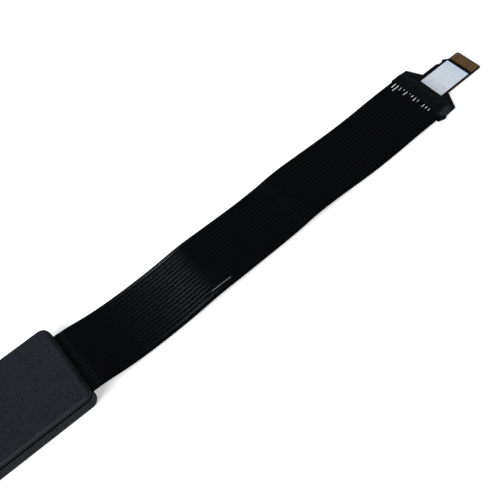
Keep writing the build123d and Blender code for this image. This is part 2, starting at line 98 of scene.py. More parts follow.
class Value:
    """A shader socket that carries a number, with arithmetic that adds Math nodes."""

    def __init__(self, tree: "Tree", socket: Any) -> None:
        """Wraps a socket of a tree."""
        self.tree = tree
        self.socket = socket

    def _maths(self, operation: str, *operands: Any) -> "Value":
        """Adds one Math node with its inputs in order, as values or numbers, and wraps its output."""
        inputs = dict(enumerate(operands))
        return self.tree.value("ShaderNodeMath", {"operation": operation}, inputs)

    def __add__(self, other: Any) -> "Value":
        """This plus other."""
        return self._maths("ADD", self, other)

    def __radd__(self, other: Any) -> "Value":
        """Other plus this."""
        return self._maths("ADD", other, self)

    def __sub__(self, other: Any) -> "Value":
        """This minus other."""
        return self._maths("SUBTRACT", self, other)

    def __rsub__(self, other: Any) -> "Value":
        """Other minus this."""
        return self._maths("SUBTRACT", other, self)

    def __mul__(self, other: Any) -> "Value":
        """This times other."""
        return self._maths("MULTIPLY", self, other)

    def __rmul__(self, other: Any) -> "Value":
        """Other times this."""
        return self._maths("MULTIPLY", other, self)

    def __pow__(self, other: Any) -> "Value":
        """This to the power of other."""
        return self._maths("POWER", self, other)

    def above(self, limit: float, soft: float) -> "Value":
        """A soft step from 0 to 1.

        Args:
            limit: Where the step is half way up.
            soft: The step's whole width.

        Returns:
            0 below the step, 1 above it and a straight ramp between.
        """
        settings = {"clamp": True}
        inputs = {"Value": self, "From Min": limit - soft / 2, "From Max": limit + soft / 2}
        return self.tree.value("ShaderNodeMapRange", settings, inputs)

    def between(self, low: float, high: float, soft: float) -> "Value":
        """1 between two limits and 0 outside them, with soft edges of the given width."""
        return self.above(low, soft) * (1 - self.above(high, soft))

    def spread(self, low: float, high: float) -> "Value":
        """Maps 0 to 1 onto low to high."""
        return self * (high - low) + low


class Tree:
    """A node tree that is filled by node type, settings and inputs."""

    def __init__(self, holder: Any) -> None:
        """Empties the node tree of a new material or world.

        Args:
            holder: The material or the world.
        """
        holder.use_nodes = True
        self.tree = holder.node_tree
        self.tree.nodes.clear()

    def node(self, kind: str, settings: dict[str, Any], inputs: dict[Any, Any]) -> Any:
        """Adds any node.

        Args:
            kind: The node's type.
            settings: Its properties, set before its sockets. "stops" fills a colour ramp.
            inputs: Values or links by socket name or number.

        Returns:
            The node.
        """
        made = self.tree.nodes.new(kind)
        for name, setting in settings.items():
            if name == "stops":
                self._fill_ramp(made.color_ramp, setting)
            else:
                setattr(made, name, setting)
        for socket, given in inputs.items():
            self.put(made.inputs[socket], given)
        return made

    def put(self, socket: Any, given: Any) -> None:
        """Links a value or an output socket to an input socket, or sets a constant on it."""
        if isinstance(given, Value):
            self.tree.links.new(given.socket, socket)
        elif isinstance(given, NodeSocket):
            self.tree.links.new(given, socket)
        else:
            socket.default_value = given

    def shows_background(self) -> Value:
        """1 for camera rays, reflections and what shows through glass, and 0 for light itself."""
        path = self.node("ShaderNodeLightPath", {}, {}).outputs
        kinds = ("Camera", "Glossy", "Transmission")
        camera, glossy, through = (Value(self, path[f"Is {kind} Ray"]) for kind in kinds)
        return 1 - (1 - camera) * (1 - glossy) * (1 - through)

    @staticmethod
    def _fill_ramp(ramp: Any, stops: list[tuple[float, Colour]]) -> None:
        """Gives a colour ramp its stops, as (place, colour)."""
        while len(ramp.elements) < len(stops):
            ramp.elements.new(0.5)
        for element, (place, colour) in zip(ramp.elements, stops):
            element.position = place
            element.color = (*colour, 1)

    def value(self, kind: str, settings: dict[str, Any], inputs: dict[Any, Any], output: Any = 0) -> Value:
        """Adds a node and wraps one of its outputs, the first unless named."""
        return Value(self, self.node(kind, settings, inputs).outputs[output])


class Shader(Tree):
    """Builds one material round a Principled surface."""

    # Places of the Mix node's factor and colours among its inputs, and of its colour among its outputs
    MIX_FACTOR = 0
    MIX_FIRST = 6
    MIX_SECOND = 7
    MIX_COLOUR = 2

    def __init__(self, name: str, **constants: Any) -> None:
        """Starts a material.

        Args:
            name: The material's name.
            constants: Values of the surface's own sockets, with underscores for spaces.
        """
        self.material = bpy.data.materials.new(name)
        super().__init__(self.material)
        sockets = {socket.replace("_", " "): constant for socket, constant in constants.items()}
        self.surface = self.node("ShaderNodeBsdfPrincipled", {}, sockets)
        self.node("ShaderNodeOutputMaterial", {}, {"Surface": self.surface.outputs[0]})

    def object_place(self, turn: float = 0.0, origin: Triple = (0, 0, 0)) -> Any:
        """Object coordinates of a frame that is moved to an origin and turned about Z.

        Args:
            turn: Angle of the frame about Z, in radians.
            origin: The frame's origin, in metres.

        Returns:
            The vector socket.
        """
        place = self.node("ShaderNodeTexCoord", {}, {}).outputs["Object"]
        inputs = {"Vector": place, "Location": origin, "Rotation": (0, 0, turn)}
        return self.node("ShaderNodeMapping", {"vector_type": "TEXTURE"}, inputs).outputs[0]

    def plug_place(self) -> Any:
        """The plug's own frame in metres: u along it, w across and z up."""
        return self.object_place(turn=CABLE_YAW, origin=tuple(on_plug(0, 0, 0)))

    def stretched(self, vector: Any, scale: Triple) -> Any:
        """A vector scaled along each axis."""
        return self.node("ShaderNodeMapping", {}, {"Vector": vector, "Scale": scale}).outputs[0]

    def axis(self, vector: Any, name: str) -> Value:
        """One axis of a vector, "X", "Y" or "Z"."""
        return self.value("ShaderNodeSeparateXYZ", {}, {0: vector}, name)

    def noise(self, vector: Any, scale: float, detail: float = 3.0, roughness: float = 0.5) -> Value:
        """Fractal noise from 0 to 1 at a vector."""
        inputs = {"Vector": vector, "Scale": scale, "Detail": detail, "Roughness": roughness}
        return self.value("ShaderNodeTexNoise", {}, inputs, 0)

    def mixed(self, share: Any, first: Any, second: Any) -> Any:
        """Mixes two colours.

        Args:
            share: How much of the second, from 0 to 1.
            first: A colour or a colour socket.
            second: A colour or a colour socket.

        Returns:
            The mixed colour's socket.
        """
        inputs = {self.MIX_FACTOR: share}
        for socket, colour in ((self.MIX_FIRST, first), (self.MIX_SECOND, second)):
            inputs[socket] = colour if isinstance(colour, NodeSocket) else (*colour, 1)
        return self.node("ShaderNodeMix", {"data_type": "RGBA"}, inputs).outputs[self.MIX_COLOUR]

    def finished(self, colour: Any, roughness: Value, height: Value, depth: float) -> Material:
        """Links what varies over the surface.

        Args:
            colour: The colour's socket.
            roughness: The roughness.
            height: How high the surface stands, from 0 to 1.
            depth: How far it stands proud at 1, in metres.

        Returns:
            The material.
        """
        inputs = {"Height": height, "Distance": depth, "Strength": 1.0}
        normal = self.node("ShaderNodeBump", {}, inputs).outputs[0]
        for socket, given in {"Base Color": colour, "Roughness": roughness, "Normal": normal}.items():
            self.put(self.surface.inputs[socket], given)
        return self.material


# Finishes


@dataclass(frozen=True)
class MouldedPlastic:
    """Plastic from a spark-eroded mould: an even speckle, finer grain in it and faint cloudy tone."""

    name: str
    colour: Colour
    roughness: float = 0.55
    roughness_reach: float = 0.08
    specular: float = 0.045
    # The speckle's size in metres, how many grains go on it, and the scale of the clouds
    speckle: float = 0.0005
    grains: float = 3
    clouds: float = 110
    # How far the tone departs from the colour, and how much of that the speckle, grain and clouds each give
    contrast: float = 0.6
    tone_shares: Triple = (0.65, 0.15, 0.2)
    # How far the surface stands proud in metres, and the speckle's share of it
    depth: float = 0.00004
    speckle_share: float = 0.6

    def material(self) -> Material:
        """Builds the finish on Object coordinates.

        Returns:
            The material.
        """
        shader = Shader(self.name, Specular_IOR_Level=self.specular)
        place = shader.object_place()
        speckle = shader.noise(place, 1 / self.speckle, detail=1)
        grain = shader.noise(place, self.grains / self.speckle, detail=2, roughness=0.6)
        cloud = shader.noise(place, self.clouds, detail=2)
        dark = tuple(part * (1 - self.contrast) for part in self.colour)
        light = tuple(part * (1 + self.contrast) for part in self.colour)
        of_speckle, of_grain, of_cloud = self.tone_shares
        tone = speckle.above(0.5, 0.3) * of_speckle + grain.above(0.5, 0.4) * of_grain + cloud * of_cloud
        colour = self.marked(shader, place, grain, shader.mixed(tone, dark, light))
        even = grain.spread(self.roughness - self.roughness_reach, self.roughness + self.roughness_reach)
        height = speckle * self.speckle_share + grain * (1 - self.speckle_share)
        return shader.finished(colour, self.dulled(shader, place, even), height, self.depth)

    def marked(self, shader: Shader, place: Any, grain: Value, colour: Any) -> Any:
        """The colour with painted light and shade on it, none here."""
        return colour

    def dulled(self, shader: Shader, place: Any, roughness: Value) -> Value:
        """The roughness with the duller places on it, none here."""
        return roughness


@dataclass(frozen=True)
class HousingPlastic(MouldedPlastic):
    """The housing's moulded plastic: painted shade in and above the groove, painted highlights on an edge and
    a corner, and duller in front.

    Its places are in millimetres.
    """

    # The groove's heights, where shade is painted, and how far above it the painted shade fades out
    groove: Pair = (4.47, 5.48)
    groove_soft: float = 0.08
    groove_shade_share: float = 0.1
    painted_shade: Colour = (0.0012, 0.0013, 0.0016)
    painted_shade_fade: float = 1.4
    painted_shade_share: float = 0.5
    # The colour of the painted highlights on the upper edge and the front right corner
    painted_highlight: Colour = (0.04, 0.044, 0.052)
    # The painted highlight along the upper edge is outside this Y and above this Z
    edge: Pair = (-12.75, 6.5)
    edge_soft: float = 0.3
    edge_highlight_share: float = 0.85
    # The painted highlight on the front right corner is past this X and outside this Y
    corner: Pair = (18.7, -11.9)
    corner_soft: float = 0.8
    corner_highlight_share: float = 0.3
    # The duller front face starts at this X
    front: float = 19.85
    front_soft: float = 0.2
    front_roughness: float = 0.4

    def marked(self, shader: Shader, place: Any, grain: Value, colour: Any) -> Any:
        """The colour with painted highlights and painted shade on it.

        The upper edge and the front right corner get painted highlights. Between the groove's heights the
        plastic is darkened with painted shade, which fades out above it.

        Args:
            shader: The material that is being built.
            place: Object coordinates.
            grain: The fine grain, which breaks up the painted highlight on the edge.
            colour: The plastic's own colour.

        Returns:
            The colour's socket.
        """
        x, y, z = (shader.axis(place, name) * (1 / MM) for name in "XYZ")
        # Painted highlight along the upper edge on the -Y side, broken up by the grain
        side, top = self.edge
        outside = 1 - y.above(side, self.edge_soft)
        edge = outside * z.above(top, self.edge_soft) * grain.above(0.4, 0.3)
        # Painted highlight on the front right corner
        end, side = self.corner
        corner = x.above(end, self.corner_soft) * (1 - y.above(side, self.corner_soft))
        painted_highlight = edge * self.edge_highlight_share + corner * self.corner_highlight_share
        # Painted shade: dark in the groove, fading out up the lid's side above it
        low, high = self.groove
        inside = z.between(low, high, self.groove_soft)
        above = z.above(high + self.painted_shade_fade / 2, self.painted_shade_fade)
        fading = z.above(low, self.groove_soft) * (1 - above)
        painted_shade_mask = inside * self.groove_shade_share + fading * self.painted_shade_share
        return shader.mixed(painted_shade_mask, shader.mixed(painted_highlight, colour, self.painted_highlight), self.painted_shade)

    def dulled(self, shader: Shader, place: Any, roughness: Value) -> Value:
        """The plastic's own roughness, and more of it on the front face."""
        x = shader.axis(place, "X") * (1 / MM)
        return roughness + x.above(self.front, self.front_soft) * self.front_roughness


@dataclass(frozen=True)
class RibbonVinyl:
    """Extruded black vinyl on the ribbon's own UV map, with fine lengthwise scuffs and one pale scratch."""

    name: str = "ribbon_vinyl"
    colour: Colour = (0.0007, 0.0008, 0.0011)
    scuffed: Colour = (0.0026, 0.0028, 0.0036)
    pale: Colour = (0.3, 0.3, 0.31)
    specular: float = 0.021
    roughness: Pair = (0.17, 0.28)
    # The scuffs' scale along the ribbon as a share of that across it: under 1 draws them out
    scuff_stretch: float = 0.12
    scuff_depth: float = 0.000005
    # Where the duller start ends, in millimetres along the ribbon
    dull_until: float = 7.4
    dull_fade: float = 2.6
    dull_share: float = 0.4
    # The scratch: its ends along the ribbon, place across, slope, and half width squared with its fade
    scratch_ends: Pair = (48.3, 55.2)
    scratch_across: float = -8.5
    scratch_slope: float = 0.01
    scratch_reach: Pair = (0.007, 0.01)
    scratch_soft: float = 0.5

    def material(self, length: float, width: float) -> Material:
        """Builds the finish on the ribbon's UV map.

        Args:
            length: The ribbon's length along its UV map's U, in millimetres.
            width: The ribbon's width along V, in millimetres.

        Returns:
            The material.
        """
        shader = Shader(self.name, Specular_IOR_Level=self.specular)
        uv = shader.node("ShaderNodeUVMap", {"uv_map": "UVMap"}, {}).outputs[0]
        even = shader.stretched(uv, (length, width, 1))
        along, across = shader.axis(even, "X"), shader.axis(even, "Y")
        lengthwise = shader.stretched(uv, (length * self.scuff_stretch, width, 1))
        scuffs = shader.noise(lengthwise, 5.0, detail=4, roughness=0.65)
        patches = shader.noise(even, 0.12)
        scratch = self._scratch(along, across, shader.noise(even, 2.0, detail=2))
        tone = scuffs.above(0.62, 0.3) * patches.above(0.5, 0.5)
        colour = shader.mixed(scratch, shader.mixed(tone, self.colour, self.scuffed), self.pale)
        dull = (1 - along.above(self.dull_until, self.dull_fade)) * self.dull_share
        roughness = (patches * 0.4 + scuffs * 0.6).spread(*self.roughness) + dull
        return shader.finished(colour, roughness, scuffs, self.scuff_depth)

    def _scratch(self, along: Value, across: Value, ragged: Value) -> Value:
        """A thin mark on the ribbon's upper side, drawn by its squared distance from a sloped line.

        Args:
            along: Distance along the ribbon, in millimetres.
            across: Distance across it, in millimetres.
            ragged: A noise that breaks the mark up.

        Returns:
            1 on the mark and 0 off it.
        """
        start, end = self.scratch_ends
        line = across + (along - start) * self.scratch_slope - self.scratch_across
        near = 1 - (line * line).above(*self.scratch_reach)
        return near * along.between(start, end, self.scratch_soft) * ragged.above(0.42, 0.25)


@dataclass(frozen=True)
class Metal:
    """Metal with a fine surface, lengthwise or even, and slight differences of tone."""

    name: str
    colour: Colour
    roughness: float = 0.3
    grain: Triple = (600, 600, 600)
    roughness_reach: Pair = (-0.1, 0.15)
    tarnish: float = 0.25
    clouds: float = 400
    depth: float = 0.00001

    def material(self) -> Material:
        """Builds the finish on Object coordinates.

        Returns:
            The material.
        """
        shader = Shader(self.name, Metallic=1.0)
        place = shader.object_place()
        grain = shader.noise(shader.stretched(place, self.grain), 1.0)
        cloud = shader.noise(place, self.clouds, detail=2)
        dull = tuple(part * (1 - self.tarnish) for part in self.colour)
        colour = shader.mixed(grain * 0.5 + cloud * 0.5, dull, self.colour)
        roughness = grain.spread(*(self.roughness + reach for reach in self.roughness_reach))
        return shader.finished(colour, roughness, grain, self.depth)


@dataclass(frozen=True)
class PlugLaminate:
    """Black mask over thin laminate, with a window round the contacts where the brown laminate shows."""

    name: str = "plug_laminate"
    mask: Colour = (0.0012, 0.0014, 0.0019)
    bare: Colour = (0.075, 0.047, 0.022)
    specular: float = 0.03
    roughness: Pair = (0.3, 0.5)
    depth: float = 0.000008
    # The window's limits along the plug, across it and upwards, in millimetres, and how soft its edges are
    window_u: Pair = (11.2, 14.8)
    window_w: Pair = (-5.2, 3.95)
    window_z: float = 0.9
    soft: float = 0.08
    soft_z: float = 0.02

    def material(self) -> Material:
        """Builds the finish on the plug's own frame.

        Returns:
            The material.
        """
        shader = Shader(self.name, Specular_IOR_Level=self.specular)
        place = shader.plug_place()
        weave = shader.noise(place, 1800)
        u, w, z = (shader.axis(place, name) for name in "XYZ")
        along = u.between(*(edge * MM for edge in self.window_u), self.soft * MM)
        across = w.between(*(edge * MM for edge in self.window_w), self.soft * MM)
        top = z.above(self.window_z * MM, self.soft_z * MM)
        colour = shader.mixed(along * across * top, self.mask, self.bare)
        return shader.finished(colour, weave.spread(*self.roughness), weave, self.depth)


@dataclass(frozen=True)
class PadGold:
    """Thin gold on the contact pads, worn into lengthwise stripes by many insertions."""

    name: str = "pad_gold"
    fresh: Colour = (0.115, 0.07, 0.031)
    worn: Colour = (0.072, 0.041, 0.018)
    stripes: Triple = (120, 2600, 1)
    roughness: Pair = (0.55, 0.35)
    depth: float = 0.000005

    def material(self) -> Material:
        """Builds the finish on the plug's own frame.

        Returns:
            The material.
        """
        shader = Shader(self.name, Metallic=1.0)
        stripes = shader.noise(shader.stretched(shader.plug_place(), self.stripes), 1.0, roughness=0.6)
        colour = shader.mixed(stripes.above(0.5, 0.35), self.worn, self.fresh)
        return shader.finished(colour, stripes.spread(*self.roughness), stripes, self.depth)


@dataclass(frozen=True)
class LabelFilm:
    """Blank satin film: cooler towards the tip, greyer and smudged towards the sleeve."""

    name: str = "label_film"
    ramp: tuple[tuple[float, Colour], ...] = (
        (0.0, (0.52, 0.55, 0.58)),
        (0.3, (0.67, 0.72, 0.78)),
        (0.85, (0.67, 0.73, 0.8)),
        (1.0, (0.58, 0.7, 0.86)),
    )
    smudge: Colour = (0.4, 0.42, 0.44)
    specular: float = 0.05
    roughness: Pair = (0.4, 0.55)
    depth: float = 0.000006
    # The label's ends along the plug, and the middle and width of the smudges' fading, in millimetres
    start: float = -2.6
    end: float = 9.9
    smudged_until: float = 1.0
    smudge_fade: float = 4.0
    streaks: Triple = (160, 1300, 1)
    streak_share: float = 0.35
    spot_share: float = 0.6

    def material(self) -> Material:
        """Builds the finish on the plug's own frame.

        Returns:
            The material.
        """
        shader = Shader(self.name, Specular_IOR_Level=self.specular)
        place = shader.plug_place()
        u = shader.axis(place, "X")
        share = (u - self.start * MM) * (1 / ((self.end - self.start) * MM))
        film = shader.node("ShaderNodeValToRGB", {"stops": list(self.ramp)}, {"Fac": share}).outputs[0]
        streaks = shader.noise(shader.stretched(place, self.streaks), 1.0, detail=4, roughness=0.6)
        spots = shader.noise(place, 900, detail=2)
        near_sleeve = 1 - u.above(self.smudged_until * MM, self.smudge_fade * MM)
        smudges = spots.above(0.6, 0.12) * near_sleeve * self.spot_share
        colour = shader.mixed(streaks.above(0.6, 0.3) * self.streak_share + smudges, film, self.smudge)
        return shader.finished(colour, streaks.spread(*self.roughness), spots, self.depth)


@dataclass(frozen=True)
class SleeveTape:
    """Thin black tape, a little shiny, with fine creases, dusty high spots and one pale patch of painted
    sheen.
    """

    name: str = "sleeve_tape"
    colour: Colour = (0.001, 0.0014, 0.0018)
    dusty: Colour = (0.0036, 0.0042, 0.005)
    # Colour of the painted sheen patch
    painted_highlight: Colour = (0.036, 0.039, 0.047)
    specular: float = 0.02
    creases: Triple = (700, 250, 250)
    roughness: Pair = (0.3, 0.5)
    depth: float = 0.00005
    # The painted sheen patch's middle and reach, along the plug and across it, in millimetres
    sheen_patch: Pair = (-6.6, -10.6)
    sheen_patch_reach: Pair = (2.7, 1.3)

    def material(self) -> Material:
        """Builds the finish on the plug's own frame.

        Returns:
            The material.
        """
        shader = Shader(self.name, Specular_IOR_Level=self.specular)
        place = shader.plug_place()
        creases = shader.noise(shader.stretched(place, self.creases), 1.0, detail=4, roughness=0.6)
        dust = shader.noise(place, 900, detail=4, roughness=0.6)
        # Painted sheen: a pale patch towards the right end, broken up by the creases
        u, w = (shader.axis(place, name) - middle * MM for name, middle in zip("XY", self.sheen_patch))
        along, across = (1 / (reach * MM) for reach in self.sheen_patch_reach)
        distance = (u * along) ** 2 + (w * across) ** 2
        painted_highlight = (1 - distance.above(0.7, 1.2)) * creases.above(0.45, 0.4)
        tape = shader.mixed(dust.above(0.5, 0.4), self.colour, self.dusty)
        roughness = (creases * 0.5 + dust * 0.5).spread(*self.roughness)
        return shader.finished(shader.mixed(painted_highlight, tape, self.painted_highlight), roughness, creases, self.depth)


# Meshes


def tube_faces(rings: int, around: int, capped: bool) -> list[np.ndarray]:
    """Lists the faces of a tube that is made of rings of points.

    Ring i joins ring i + 1 by quads, and each ring closes on itself. A cap is a strip across the end ring:
    point k joins point around - k, so the ring's second half has to mirror its first.

    Args:
        rings: How many rings the tube has.
        around: How many points each ring has, an even number.
        capped: Whether both ends are closed.

    Returns:
        Arrays of faces by corners, each corner as (ring, place round the ring). The place past the last
        closes the seam.
    """
    grids = np.meshgrid(np.arange(rings - 1), np.arange(around), indexing="ij")
    ring, spot = (grid.ravel() for grid in grids)
    corners = [(ring, spot), (ring, spot + 1), (ring + 1, spot + 1), (ring + 1, spot)]
    faces = [np.stack([np.stack(corner, axis=-1) for corner in corners], axis=1)]
    if capped:
        half = around // 2
        k = np.arange(1, half - 1)
        strip = np.stack([around - k, around - k - 1, k + 1, k], axis=1)
        points = np.array([[around - 1, 1, 0], [half + 1, half, half - 1]])
        for end, order in ((0, 1), (rings - 1, -1)):
            faces += [np.stack([np.full_like(cap, end), cap], axis=-1)[:, ::order] for cap in (strip, points)]
    return faces


def add_object(name: str, data: Any) -> Object:
    """Makes an object and links it to the scene.

    Args:
        name: The object's name.
        data: A mesh, a light or a camera.

    Returns:
        The object.
    """
    made = bpy.data.objects.new(name, data)
    bpy.context.scene.collection.objects.link(made)
    return made


def tube_piece(name: str, points: np.ndarray, uv: np.ndarray | None = None, capped: bool = True) -> Object:
    """Makes one smooth piece of one or more tubes.

    Args:
        name: The piece's name.
        points: An array of tubes by rings by points by 3, in metres.
        uv: An array of rings by points + 1 by 2, or none. The last column closes the seam.
        capped: Whether the tubes' ends are closed.

    Returns:
        The object, linked to the scene.
    """
    tubes, rings, around, _ = points.shape
    faces, loops = [], []
    for corners in tube_faces(rings, around, capped):
        numbers = corners[..., 0] * around + corners[..., 1] % around
        for tube in range(tubes):
            faces += (numbers + tube * rings * around).tolist()
        if uv is not None:
            loops.append(uv[corners[..., 0], corners[..., 1]].reshape(-1, 2))
    mesh = bpy.data.meshes.new(name)
    mesh.from_pydata(points.reshape(-1, 3).tolist(), [], faces)
    if uv is not None:
        flat = np.concatenate(loops).ravel().astype(np.float32)
        mesh.uv_layers.new(name="UVMap").data.foreach_set("uv", flat)
    mesh.polygons.foreach_set("use_smooth", np.ones(len(faces), bool))
    mesh.update()
    LOG.info("piece %s: %d faces", name, len(faces))
    return add_object(name, mesh)


def dress(piece: Object, material: Material) -> None:
    """Gives a piece one material in place of those it has."""
    piece.data.materials.clear()
    piece.data.materials.append(material)


def dress_node(name: str, material: Material) -> None:
    """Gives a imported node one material, and leaves its mesh alone."""
    dress(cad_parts[name], material)
    LOG.info("node %s: %s", name, material.name)


# Ribbon


@dataclass
class Ribbon:
    """The flat cable: sixteen cores side by side in black vinyl."""

    width: float = 21.5
    thickness: float = 0.9
    groove: float = 0.1
    steps_per_core: int = 10
    steps_per_point: int = 18
    # Distance from the exit and height of each point of the route, in millimetres
    route: Pairs = (
        (-5.5, 4.45),
        (1.6, 4.45),
        (11.5, 1.95),
        (21.0, 1.05),
        (33.0, 0.9),
        (44.0, 1.9),
        (52.0, 1.5),
        (72.0, 1.0),
        (82.0, 2.3),
        (95.0, 1.4),
        (104.0, 0.6),
        (114.0, 0.5),
        (124.0, 1.15),
        (132.75, 1.15),
    )
    # The width measured along the ribbon, as (distance from the exit, share of the width)
    widths: Pairs = ((0, 1.012), (48, 1.008), (66, 0.985), (92, 0.982), (104, 0.995))
    # How far the upper side of each core's vinyl goes past the ribbon's end, from the right edge to the left
    ends: tuple[float, ...] = (
        1.3, 1.3, 1.3, -0.3, -0.2, -0.5, 1.3, 0.0, -0.6, 0.4, 1.0, -1.1, 0.9, -0.5, -2.2, -1.3
    )
    # How far the lower side goes, and the upper side outside this distance from the outermost core's middle
    end_skin: float = 1.3
    skin_edge: float = 0.3
    # The length over which the vinyl is stretched or cut back to its end
    end_run: float = 9.0
    # Set by build: the length along the curve in millimetres, and the centre line in metres
    length: float = field(default=0.0, init=False)
    line: np.ndarray = field(default_factory=lambda: np.empty((0, 3)), init=False, repr=False)

    def centre_line(self) -> np.ndarray:
        """The route as a smooth line.

        Returns:
            Points in metres, read from a NURBS spline whose control points are the route's.
        """
        curve = bpy.data.curves.new("ribbon_line", "CURVE")
        curve.dimensions = "3D"
        spline = curve.splines.new("NURBS")
        controls = on_cable([s for s, _ in self.route], 0, [z for _, z in self.route])
        spline.points.add(len(controls) - 1)
        spline.points.foreach_set("co", np.hstack([controls, np.ones((len(controls), 1))]).ravel())
        spline.order_u = 3
        spline.use_endpoint_u = True
        spline.resolution_u = self.steps_per_point
        line = bpy.data.objects.new("ribbon_line", curve)
        mesh = bpy.data.meshes.new_from_object(line)
        flat = np.empty(len(mesh.vertices) * 3)
        mesh.vertices.foreach_get("co", flat)
        bpy.data.objects.remove(line)
        return flat.reshape(-1, 3)

    def section(self) -> tuple[np.ndarray, np.ndarray]:
        """The ribbon's section, anticlockwise seen along the cable.

        Each core's back is a parabola: half the thickness less the groove's depth times the squared share of
        the way to the groove. Outside the outermost cores it runs down to the edge as the root of 1 minus the
        share to the fourth, so that the edge is round.

        Returns:
            The places across and the heights above the middle, in millimetres.
        """
        half, cores = self.thickness / 2, core_places()
        share = np.linspace(-1, 1, self.steps_per_core + 1)[:-1]
        backs = (cores[:, None] + share * CORE_PITCH / 2).ravel()
        backs = backs[(backs >= cores[0]) & (backs <= cores[-1])]
        way = ((backs - cores[0]) / CORE_PITCH + 0.5) % 1 * 2 - 1
        rounding = np.linspace(0, 1, 2 * self.steps_per_core)[1:]
        reach = self.width / 2 - cores[-1]
        fall = half * np.sqrt(np.clip(1 - np.sin(rounding * math.pi / 2) ** 4, 0, 1))
        outer = cores[-1] + reach * np.sin(rounding * math.pi / 2)
        across = np.concatenate([-outer[::-1], backs, outer])
        height = np.concatenate([fall[::-1], half - self.groove * way**2, fall])
        return np.concatenate([across[::-1], across[1:-1]]), np.concatenate([height[::-1], -height[1:-1]])

    def build(self) -> Object:
        """Carries the section along the centre line.

        Near the end each core's upper side is cut back or reaches on by its own distance, times the square of
        the share of the end's run, while the lower side and the outer edges go on under the sleeve.

        Returns:
            The ribbon.
        """
        line = self.centre_line()
        run = np.gradient(line, axis=0)
        run /= np.linalg.norm(run, axis=1)[:, None]
        side = np.array([-math.sin(CABLE_YAW), math.cos(CABLE_YAW), 0])
        up = np.cross(run, side)
        across, height = self.section()
        gone = np.concatenate([[0], np.cumsum(np.linalg.norm(np.diff(line, axis=0), axis=1))]) / MM
        fan = np.interp(gone + self.route[0][0], *zip(*self.widths))
        sideways = (fan[:, None] * across)[..., None] * side
        points = line[:, None] + MM * (sideways + height[None, :, None] * up[:, None])
        near_end = np.clip((gone - gone[-1]) / self.end_run + 1, 0, 1) ** 2
        core = np.clip(np.round(across / CORE_PITCH + (CORES - 1) / 2), 0, CORES - 1).astype(int)
        skin = (height <= 0) | (np.abs(across) > core_places()[-1] + self.skin_edge)
        reach = np.where(skin, self.end_skin, np.array(self.ends)[core])
        points += MM * (near_end[:, None] * reach)[..., None] * run[:, None]
        u = np.repeat((gone / gone[-1])[:, None], len(across) + 1, axis=1)
        v = np.tile(np.append(across, across[0]) / self.width, (len(line), 1))
        piece = tube_piece("ribbon", points[None], np.stack([u, v], axis=-1))
        self.length, self.line = float(gone[-1]), line
        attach(piece, "root")
        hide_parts("ribbon_cable")
        LOG.info("ribbon: %.1f mm long, %d points round its section", self.length, len(across))
        return piece

    def dress(self, piece: Object) -> None:
        """Puts the vinyl on."""
        dress(piece, RibbonVinyl().material(self.length, self.width))


# Housing, socket and plug


@dataclass
class Housing:
    """The moulded tray and lid."""

    finish: MouldedPlastic = HousingPlastic("housing_plastic", (0.0105, 0.0119, 0.0157))

    def dress(self) -> None:
        """Puts the moulded finish on both halves."""
        material = self.finish.material()
        for node in ("top_cover", "bottom_cover"):
            dress_node(node, material)


@dataclass
class CardSocket:
    """The card socket and the board that carries it."""

    contacts: int = 9
    mask: MouldedPlastic = MouldedPlastic("board_mask", (0.01, 0.06, 0.028), roughness=0.35, specular=0.3)
    insulator: MouldedPlastic = MouldedPlastic("socket_plastic", (0.012, 0.012, 0.013))
    steel: Metal = Metal("socket_steel", (0.6, 0.6, 0.59), 0.34, grain=(80, 2400, 2400))
    gold: Metal = Metal("contact_gold", (0.83, 0.58, 0.22), 0.28)
    tin: Metal = Metal("tinned_copper", (0.78, 0.78, 0.8))

    def dress(self) -> None:
        """Puts finishes on the board, base, shell, contacts, wires and solder."""
        gold, tin = self.gold.material(), self.tin.material()
        dress_node("socket_board", self.mask.material())
        dress_node("socket_base", self.insulator.material())
        dress_node("socket_shell", self.steel.material())
        for number in range(1, self.contacts + 1):
            dress_node(f"card_contact_{number}", gold)
        dress_node("board_wire_ends", tin)
        dress_node("board_solder_joints", tin)


